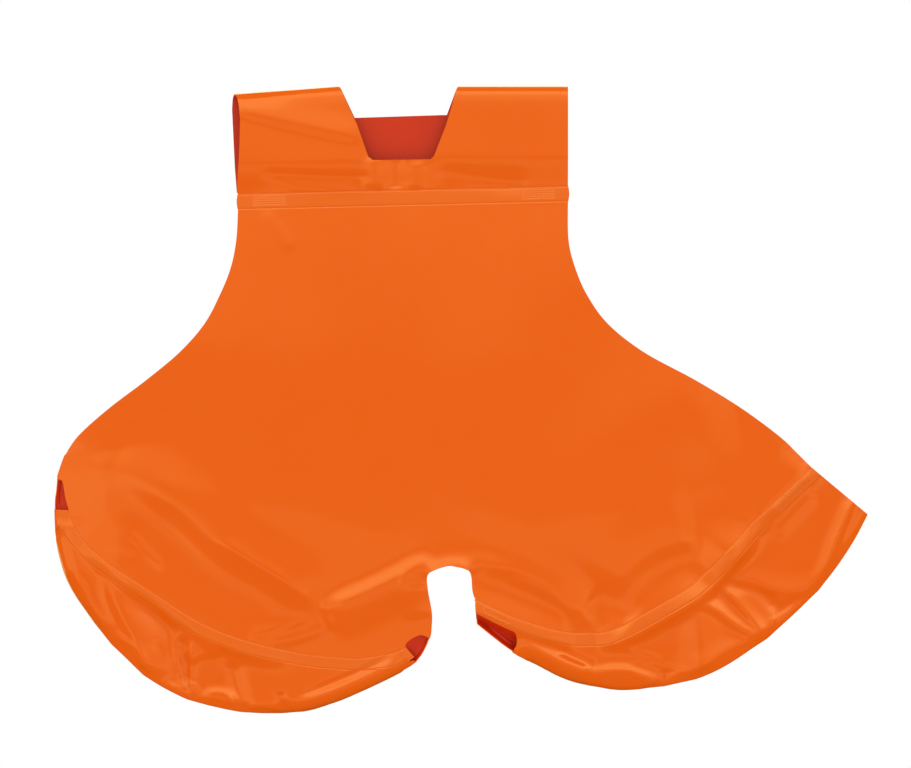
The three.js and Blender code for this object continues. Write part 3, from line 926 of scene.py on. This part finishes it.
def leg_tack(name, leg, point, length, height, knurled):
    """A press mark on a hem's weld, its middle nearest a point of the seam."""
    u = np.linspace(0, 1, 500)
    line = spline(leg["seam"], u)
    total = np.linalg.norm(np.diff(line, axis=0), axis=1).sum()
    middle = u[np.linalg.norm(line - point, axis=1).argmin()]
    w, v, faces = stamp_grid(length, height, LEG_STAMP_ROWS)
    base, facing = hem_points(leg, np.clip(middle + w / total, 0, 1), LEG_STAMP_DROP + v,
                              np.full(len(w), -SHEET / 2))
    if knurled:
        pattern = knurl(w * STAMP_LENGTH / length, v * STAMP_HEIGHT / height)
    else:
        pattern = dish(w, v, length, height)
    rise = relief(base[:, [0, 2]]) + LEG_STAMP_PROUD + pattern
    outer = base + facing * rise[:, None]
    return sheet_object(name, outer, faces, [STAMP], thickness=STAMP_THICKNESS)


def dish(w, v, length, height):
    """A smooth press mark, sunk inside a low rim."""
    inset = np.minimum(length / 2 - np.abs(w), height / 2 - np.abs(v))
    return 0.25 * np.exp(-((inset - 0.6) / 0.5) ** 2) - 0.3 * smooth((inset - 0.8) / 0.8)


# ---- assembly -------------------------------------------------------------------------------------


def at(x, y, z):
    """A point in metres."""
    return (x * MM, y * MM, z * MM)


def finish_piece(nodes):
    """Hides the CAD nodes that a piece stands for."""
    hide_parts(*nodes)


panel = panels()
seat = panel["seat"]
finish_piece(["seat_panel"])
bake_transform(seat)
bridge = panel["crotch"]
finish_piece(["crotch_bridge"])
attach(bridge, "seat")

sleeve = belt_sleeve()
finish_piece(["sleeve_front_wall", "sleeve_back_wall"])
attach(sleeve, "belt_sleeve")

weld = waist_weld()
finish_piece(["waist_weld_seam"])
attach(weld, "belt_sleeve")
for side, x in (("left", -120), ("right", 122)):
    tack = waist_tack(f"waist_stamp_{side}", x)
    finish_piece([f"waist_tack_{side}"])
    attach(tack, "belt_sleeve")

for side, leg in LEGS.items():
    lobe = panel[side]
    finish_piece([f"{side}_leg_panel"])
    band = leg_weld(side, leg)
    finish_piece([f"{side}_leg_weld_seam"])
    hem = leg_sleeve(side, leg)
    finish_piece([f"{side}_leg_sleeve_front", f"{side}_leg_sleeve_back"])
    items = [lobe, band, hem]
    if side == "right":
        inner = leg_tack("right_leg_stamp_inner", leg, (85, -422), 23, 6.5, False)
        finish_piece(["right_leg_tack_inner"])
        outer = leg_tack("right_leg_stamp_outer", leg, (346, -316), 34, 10, True)
        finish_piece(["right_leg_tack_outer"])
        items += [inner, outer]
    for item in items:
        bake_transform(item)


# ---- studio ---------------------------------------------------------------------------------------
# Lengths from here on are in metres.

low_corner, high_corner = cad_box
MIDDLE = Vector([(a + b) / 2 for a, b in zip(low_corner, high_corner)])
FLOOR_HALF = 12.0
FLOOR_DROP = 0.75
FLOOR_GLOW = 0.95
TENT_RADIUS = 3.0
SOFT_LIGHT = 1.05
SOFT_BOTTOM_SHARE = 0.8
# What the gloss sees in front and behind: (lowest angle above level, highest angle, brightness).
GLOSS_BANDS = [(-55, -25, 0.02), (-25, -8, 0.55), (-8, 3, 0.1), (3, 12, 0.5), (12, 22, 1.2),
               (22, 55, 2.4)]
# Upright strips beside the middle of those: (degrees off the middle, brightness).
GLOSS_STRIPS = [(-28, 0.6), (28, 0.4)]
GLOSS_WARMTH = (1, 0.9, 0.3)
LENS = 300.0
SENSOR = 36.0
FRAME_WIDTH = 0.8199
CAMERA_X = 0.0473
CAMERA_Z = -0.2205


def add_floor():
    """A plain pale floor, which shows to the camera only so that it lights nothing from below."""
    half, z = FLOOR_HALF, low_corner[2] - FLOOR_DROP
    mesh = bpy.data.meshes.new("floor")
    corners = [(-half, -half, z), (half, -half, z), (half, half, z), (-half, half, z)]
    mesh.from_pydata(corners, [], [(0, 1, 2, 3)])
    floor = bpy.data.objects.new("floor", mesh)
    bpy.context.scene.collection.objects.link(floor)
    pale = bpy.data.materials.new("pale_floor")
    pale.use_nodes = True
    shader = pale.node_tree.nodes["Principled BSDF"]
    shader.inputs["Base Color"].default_value = (0.1, 0.1, 0.1, 1)
    shader.inputs["Roughness"].default_value = 1.0
    # It shines by itself, so that it stays as pale behind the light panels as under them.
    shader.inputs["Emission Color"].default_value = (1, 1, 1, 1)
    shader.inputs["Emission Strength"].default_value = FLOOR_GLOW
    mesh.materials.append(pale)
    floor.visible_diffuse = False
    floor.visible_glossy = False


def add_world():
    """White behind for the camera only: the light panels make all the light."""
    world = bpy.data.worlds.new("studio")
    bpy.context.scene.world = world
    world.use_nodes = True
    nodes, links = world.node_tree.nodes, world.node_tree.links
    dark = nodes.new("ShaderNodeBackground")
    dark.inputs["Strength"].default_value = 0.0
    backdrop = nodes["Background"]
    backdrop.inputs["Color"].default_value = (1, 1, 1, 1)
    backdrop.inputs["Strength"].default_value = 1.0
    rays = nodes.new("ShaderNodeLightPath")
    pick = nodes.new("ShaderNodeMixShader")
    links.new(rays.outputs["Is Camera Ray"], pick.inputs[0])
    links.new(dark.outputs[0], pick.inputs[1])
    links.new(backdrop.outputs[0], pick.inputs[2])
    links.new(pick.outputs[0], nodes["World Output"].inputs["Surface"])


def light_panel(name, azimuth, half_angle, low_angle, high_angle, level, soft):
    """A panel of the light tent: soft ones light the colour, and the others show in the gloss."""
    low, high, turn = (math.radians(v) for v in (low_angle, high_angle, azimuth))
    aim = (low + high) / 2
    light = bpy.data.lights.new(name, "AREA")
    light.shape = "RECTANGLE"
    light.size = 2 * TENT_RADIUS * math.tan(math.radians(half_angle))
    light.size_y = 2 * TENT_RADIUS * math.tan((high - low) / 2)
    light.energy = level * math.pi * light.size * light.size_y
    light.color = (1, 1, 1) if soft else GLOSS_WARMTH
    item = bpy.data.objects.new(name, light)
    level_way = Vector((math.sin(turn), -math.cos(turn), 0)) * math.cos(aim)
    item.location = MIDDLE + TENT_RADIUS * (level_way + Vector((0, 0, math.sin(aim))))
    item.rotation_euler = (MIDDLE - item.location).to_track_quat("-Z", "Y").to_euler()
    item.visible_diffuse = soft
    item.visible_glossy = not soft
    item.visible_camera = False
    bpy.context.scene.collection.objects.link(item)


def add_lights():
    """A tent of even soft light all round, and bands of brightness for the gloss to show."""
    for azimuth in (0, 90, 180, 270):
        light_panel("soft_side", azimuth, 45, -45, 45, SOFT_LIGHT, True)
    light_panel("soft_top", 0, 45, 45, 135, SOFT_LIGHT, True)
    light_panel("soft_bottom", 0, 45, -135, -45, SOFT_LIGHT * SOFT_BOTTOM_SHARE, True)
    for azimuth in (0, 180):
        for low, high, level in GLOSS_BANDS:
            light_panel("gloss_band", azimuth, 45, low, high, level, False)
        for side, level in GLOSS_STRIPS:
            light_panel("gloss_strip", azimuth + side, 15, -20, 20, level, False)
    for azimuth in (90, 270):
        light_panel("gloss_side", azimuth, 45, 0, 45, 1, False)
    light_panel("gloss_top", 0, 45, 55, 125, GLOSS_BANDS[-1][2], False)


def add_camera():
    """The photo's view, from straight in front and from far off."""
    camera = bpy.data.cameras.new("camera")
    camera.lens = LENS
    camera.sensor_width = SENSOR
    item = bpy.data.objects.new("camera", camera)
    item.location = (CAMERA_X, -FRAME_WIDTH * LENS / SENSOR, CAMERA_Z)
    item.rotation_euler = (math.pi / 2, 0, 0)
    bpy.context.scene.collection.objects.link(item)
    bpy.context.scene.camera = item


add_floor()
add_world()
add_lights()
add_camera()
bpy.context.scene.view_settings.view_transform = "Standard"
